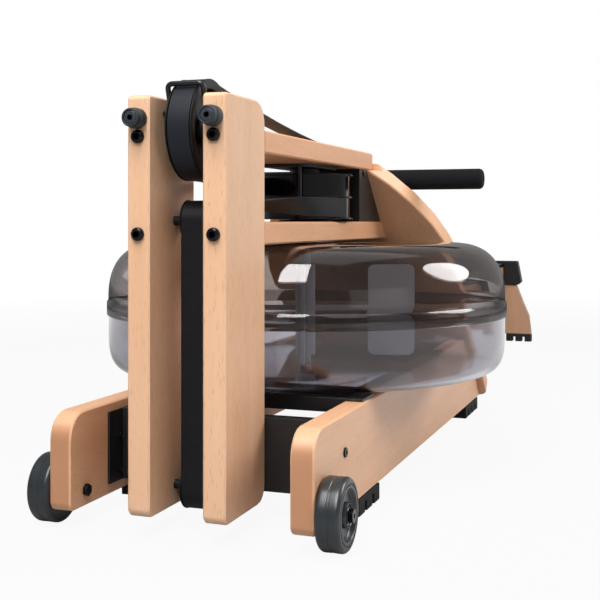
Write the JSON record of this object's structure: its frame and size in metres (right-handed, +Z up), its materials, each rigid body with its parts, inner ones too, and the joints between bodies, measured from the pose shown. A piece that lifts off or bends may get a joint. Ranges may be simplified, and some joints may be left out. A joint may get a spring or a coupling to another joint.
{
  "type": "water rowing machine",
  "caption": "Beech-framed water rowing machine with a horizontal water tank under twin decks, strap-driven handle, rail-mounted sliding seat and front transport wheels.",
  "frame": {"origin": "on the floor, under the middle of the whole machine", "axes": "+Y runs from the front posts to the rower's end, +Z is up, +X is to the right as seen from the front posts"},
  "size_m": [0.556, 2.161, 0.4943],
  "materials": {
    "beech": "satin lacquer",
    "black_steel": "semi-gloss powder coat",
    "zinc_steel": "zinc plated",
    "black_plastic": "moulded, fine grain",
    "rubber": "matt",
    "wheel_plastic": "moulded",
    "webbing": "woven",
    "foam": "closed-cell foam",
    "vinyl": "soft vinyl",
    "grey_plastic": "moulded",
    "track_aluminium": "black anodised",
    "smoked_plastic": "smoked transparent",
    "clear_plastic": "clear"
  },
  "bodies": {
    "frame": {"post_left": "beech", "post_right": "beech", "base_rail_left": "beech", "base_rail_right": "beech", "cross_member": "black_steel", "upper_deck": "beech", "lower_deck": "beech", "footboard": "beech", "deck_spacer": "black_steel", "seat_rail": "beech", "rail_track": "track_aluminium", "rail_end_cap": "black_plastic", "rear_leg": "beech", "foot_front_left": "rubber", "foot_front_right": "rubber", "foot_rear_left": "rubber", "foot_rear_right": "rubber", "leg_foot_left": "rubber", "leg_foot_right": "rubber", "wheel_bolt_left": "black_steel", "wheel_bolt_right": "black_steel", "buffer_left": "rubber", "buffer_right": "rubber", "deck_bolt_upper_left": "black_steel", "deck_bolt_upper_right": "black_steel", "deck_bolt_lower_left": "black_steel", "deck_bolt_lower_right": "black_steel", "top_pulley_axle": "zinc_steel", "strap_guard": "black_plastic", "reel_bracket": "black_steel", "reel_bearing": "black_plastic", "drive_strap": "webbing", "recoil_strap": "webbing", "bungee": "webbing", "tank_upper_shell": "smoked_plastic", "tank_lower_shell": "clear_plastic", "filler_plug": "black_plastic", "tank_support_front": "black_steel", "tank_support_rear": "black_steel", "handle_rest": "black_plastic", "footplate_left": "black_plastic", "footplate_right": "black_plastic", "foot_strap_left": "webbing", "foot_strap_right": "webbing", "handle_strap": "webbing"},
    "wheel_left": {"wheel_left": "wheel_plastic"},
    "wheel_right": {"wheel_right": "wheel_plastic"},
    "handle": {"handle_grip": "foam", "handle_clamp": "black_steel"},
    "top_pulley": {"top_pulley": "black_plastic"},
    "recoil_pulley_upper": {"recoil_pulley_upper": "black_plastic"},
    "recoil_pulley_lower": {"recoil_pulley_lower": "black_plastic"},
    "reel": {"reel": "black_plastic"},
    "impeller": {"impeller": "grey_plastic"},
    "seat": {"seat_cushion": "vinyl", "seat_carriage": "black_steel"},
    "seat_rollers_front": {"seat_rollers_front": "black_plastic"},
    "seat_rollers_rear": {"seat_rollers_rear": "black_plastic"},
    "heel_cup_left": {"heel_cup_left": "black_plastic"},
    "heel_cup_right": {"heel_cup_right": "black_plastic"}
  },
  "joints": [
    {"name": "wheel_left_spin", "type": "hinge", "parent": "frame", "child": "wheel_left", "pos_m": [-0.1664, -1.0275, 0.0385], "axis": [1, 0, 0], "continuous": true},
    {"name": "wheel_right_spin", "type": "hinge", "parent": "frame", "child": "wheel_right", "pos_m": [0.1664, -1.0275, 0.0385], "axis": [1, 0, 0], "continuous": true},
    {"name": "handle_pull", "type": "slide", "parent": "frame", "child": "handle", "axis": [0, 0.9877, 0.1564], "range_m": [0, 1], "deforming": ["handle_strap"]},
    {"name": "top_pulley_spin", "type": "hinge", "parent": "frame", "child": "top_pulley", "pos_m": [0, -0.9995, 0.4385], "axis": [1, 0, 0], "continuous": true},
    {"name": "reel_spin", "type": "hinge", "parent": "frame", "child": "reel", "pos_m": [0, -0.6299, 0.372], "axis": [0, 0, 1], "continuous": true},
    {"name": "recoil_pulley_upper_spin", "type": "hinge", "parent": "frame", "child": "recoil_pulley_upper", "pos_m": [0, -0.9965, 0.339], "axis": [1, 0, 0], "continuous": true},
    {"name": "recoil_pulley_lower_spin", "type": "hinge", "parent": "frame", "child": "recoil_pulley_lower", "pos_m": [0, -0.9945, 0.046], "axis": [1, 0, 0], "continuous": true},
    {"name": "impeller_spin", "type": "hinge", "parent": "frame", "child": "impeller", "pos_m": [0, -0.6299, 0.2165], "axis": [0, 0, 1], "continuous": true},
    {"name": "seat_slide", "type": "slide", "parent": "frame", "child": "seat", "axis": [0, 1, 0], "range_m": [0, 0.95]},
    {"name": "seat_rollers_front_spin", "type": "hinge", "parent": "seat", "child": "seat_rollers_front", "pos_m": [0, -0.1435, 0.2309], "axis": [1, 0, 0], "continuous": true},
    {"name": "seat_rollers_rear_spin", "type": "hinge", "parent": "seat", "child": "seat_rollers_rear", "pos_m": [0, -0.0535, 0.2309], "axis": [1, 0, 0], "continuous": true},
    {"name": "heel_cup_left_slide", "type": "slide", "parent": "frame", "child": "heel_cup_left", "axis": [0, -0.7314, 0.682], "range_m": [0, 0.06]},
    {"name": "heel_cup_right_slide", "type": "slide", "parent": "frame", "child": "heel_cup_right", "axis": [0, -0.7314, 0.682], "range_m": [0, 0.06]}
  ],
  "couplings": [
    {"joint": "top_pulley_spin", "follows": "handle_pull", "rad_per_m": -18.315},
    {"joint": "reel_spin", "follows": "handle_pull", "rad_per_m": 15.699},
    {"joint": "recoil_pulley_upper_spin", "follows": "handle_pull", "rad_per_m": -46.948},
    {"joint": "recoil_pulley_lower_spin", "follows": "handle_pull", "rad_per_m": -42.918},
    {"joint": "seat_rollers_front_spin", "follows": "seat_slide", "rad_per_m": -83.333},
    {"joint": "seat_rollers_rear_spin", "follows": "seat_slide", "rad_per_m": -83.333}
  ]
}
